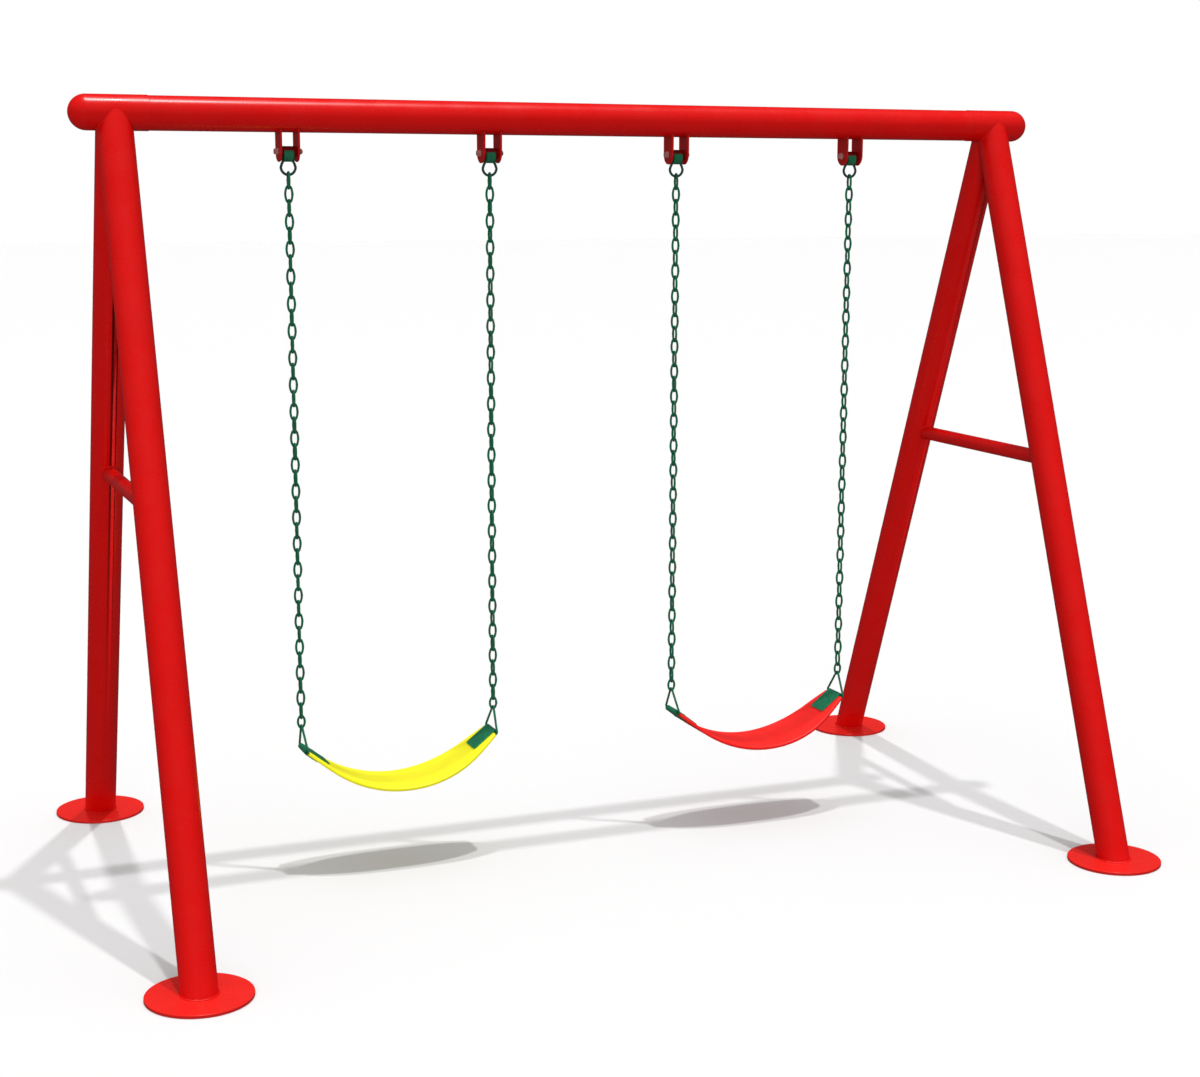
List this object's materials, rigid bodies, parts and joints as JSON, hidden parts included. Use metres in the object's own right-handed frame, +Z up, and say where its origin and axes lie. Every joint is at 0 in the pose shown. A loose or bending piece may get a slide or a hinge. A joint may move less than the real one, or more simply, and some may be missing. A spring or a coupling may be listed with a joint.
{
  "type": "swing set",
  "caption": "Free-standing tubular A-frame swing set: a top beam on round foot plates, with belt seats hung on link chains from pivoting hangers.",
  "frame": {"origin": "on the ground, at the centre of the footprint", "axes": "+X along the beam to the right as seen from the front, +Y from front to back, +Z up"},
  "size_m": [2.978, 1.868, 2.1975],
  "materials": {
    "red_paint": "gloss",
    "green_coat": "satin",
    "ring_steel": "satin",
    "zinc": "dull zinc",
    "yellow_belt": "satin",
    "red_belt": "satin"
  },
  "bodies": {
    "frame": {"top_beam": "red_paint", "left_head": "red_paint", "left_cross_brace": "red_paint", "left_front_leg": "red_paint", "left_front_foot": "red_paint", "left_rear_leg": "red_paint", "left_rear_foot": "red_paint", "right_head": "red_paint", "right_cross_brace": "red_paint", "right_front_leg": "red_paint", "right_front_foot": "red_paint", "right_rear_leg": "red_paint", "right_rear_foot": "red_paint", "left_swing_left_ear_a": "red_paint", "left_swing_left_ear_b": "red_paint", "left_swing_left_pivot_bolt": "zinc", "left_swing_left_pivot_nut": "zinc", "left_swing_right_ear_a": "red_paint", "left_swing_right_ear_b": "red_paint", "left_swing_right_pivot_bolt": "zinc", "left_swing_right_pivot_nut": "zinc", "right_swing_left_ear_a": "red_paint", "right_swing_left_ear_b": "red_paint", "right_swing_left_pivot_bolt": "zinc", "right_swing_left_pivot_nut": "zinc", "right_swing_right_ear_a": "red_paint", "right_swing_right_ear_b": "red_paint", "right_swing_right_pivot_bolt": "zinc", "right_swing_right_pivot_nut": "zinc"},
    "left_swing_hangers": {"left_swing_left_pivot_sleeve": "red_paint", "left_swing_left_barrel": "green_coat", "left_swing_left_ring": "ring_steel", "left_swing_right_pivot_sleeve": "red_paint", "left_swing_right_barrel": "green_coat", "left_swing_right_ring": "ring_steel"},
    "left_swing_left_chain_run": {"left_swing_left_chain": "green_coat"},
    "left_swing_right_chain_run": {"left_swing_right_chain": "green_coat"},
    "left_swing_end_links": {"left_swing_left_end_link": "green_coat", "left_swing_right_end_link": "green_coat"},
    "left_swing_seat": {"left_swing_belt": "yellow_belt", "left_swing_left_triangle": "green_coat", "left_swing_left_end_plate": "green_coat", "left_swing_right_triangle": "green_coat", "left_swing_right_end_plate": "green_coat"},
    "right_swing_hangers": {"right_swing_left_pivot_sleeve": "red_paint", "right_swing_left_barrel": "green_coat", "right_swing_left_ring": "ring_steel", "right_swing_right_pivot_sleeve": "red_paint", "right_swing_right_barrel": "green_coat", "right_swing_right_ring": "ring_steel"},
    "right_swing_left_chain_run": {"right_swing_left_chain": "green_coat"},
    "right_swing_right_chain_run": {"right_swing_right_chain": "green_coat"},
    "right_swing_end_links": {"right_swing_left_end_link": "green_coat", "right_swing_right_end_link": "green_coat"},
    "right_swing_seat": {"right_swing_belt": "red_belt", "right_swing_left_triangle": "green_coat", "right_swing_left_end_plate": "green_coat", "right_swing_right_triangle": "green_coat", "right_swing_right_end_plate": "green_coat"}
  },
  "joints": [
    {"name": "left_swing_swing", "type": "hinge", "parent": "frame", "child": "left_swing_hangers", "pos_m": [-0.5996, 0, 2.053], "axis": [1, 0, 0], "range_deg": [-60, 60]},
    {"name": "left_swing_sway", "type": "hinge", "parent": "left_swing_hangers", "child": "left_swing_left_chain_run", "pos_m": [-0.89035, 0, 1.9973], "axis": [0, 1, 0], "range_deg": [-10, 10]},
    {"name": "left_swing_sway_right", "type": "hinge", "parent": "left_swing_hangers", "child": "left_swing_right_chain_run", "pos_m": [-0.30885, 0, 1.9973], "axis": [0, 1, 0], "range_deg": [-10, 10]},
    {"name": "left_swing_level", "type": "hinge", "parent": "left_swing_left_chain_run", "child": "left_swing_end_links", "pos_m": [-0.89035, 0, 0.45812], "axis": [0, 1, 0], "range_deg": [-10, 10]},
    {"name": "left_swing_seat_tilt", "type": "hinge", "parent": "left_swing_end_links", "child": "left_swing_seat", "pos_m": [-0.5996, 0, 0.43012], "axis": [1, 0, 0], "range_deg": [-45, 45]},
    {"name": "right_swing_swing", "type": "hinge", "parent": "frame", "child": "right_swing_hangers", "pos_m": [0.5634, 0, 2.053], "axis": [1, 0, 0], "range_deg": [-60, 60]},
    {"name": "right_swing_sway", "type": "hinge", "parent": "right_swing_hangers", "child": "right_swing_left_chain_run", "pos_m": [0.27265, 0, 1.9973], "axis": [0, 1, 0], "range_deg": [-10, 10]},
    {"name": "right_swing_sway_right", "type": "hinge", "parent": "right_swing_hangers", "child": "right_swing_right_chain_run", "pos_m": [0.85415, 0, 1.9973], "axis": [0, 1, 0], "range_deg": [-10, 10]},
    {"name": "right_swing_level", "type": "hinge", "parent": "right_swing_left_chain_run", "child": "right_swing_end_links", "pos_m": [0.27265, 0, 0.45812], "axis": [0, 1, 0], "range_deg": [-10, 10]},
    {"name": "right_swing_seat_tilt", "type": "hinge", "parent": "right_swing_end_links", "child": "right_swing_seat", "pos_m": [0.5634, 0, 0.43012], "axis": [1, 0, 0], "range_deg": [-45, 45]}
  ],
  "couplings": [
    {"joint": "left_swing_sway_right", "follows": "left_swing_sway", "ratio": 1},
    {"joint": "left_swing_level", "follows": "left_swing_sway", "ratio": -1},
    {"joint": "right_swing_sway_right", "follows": "right_swing_sway", "ratio": 1},
    {"joint": "right_swing_level", "follows": "right_swing_sway", "ratio": -1}
  ]
}
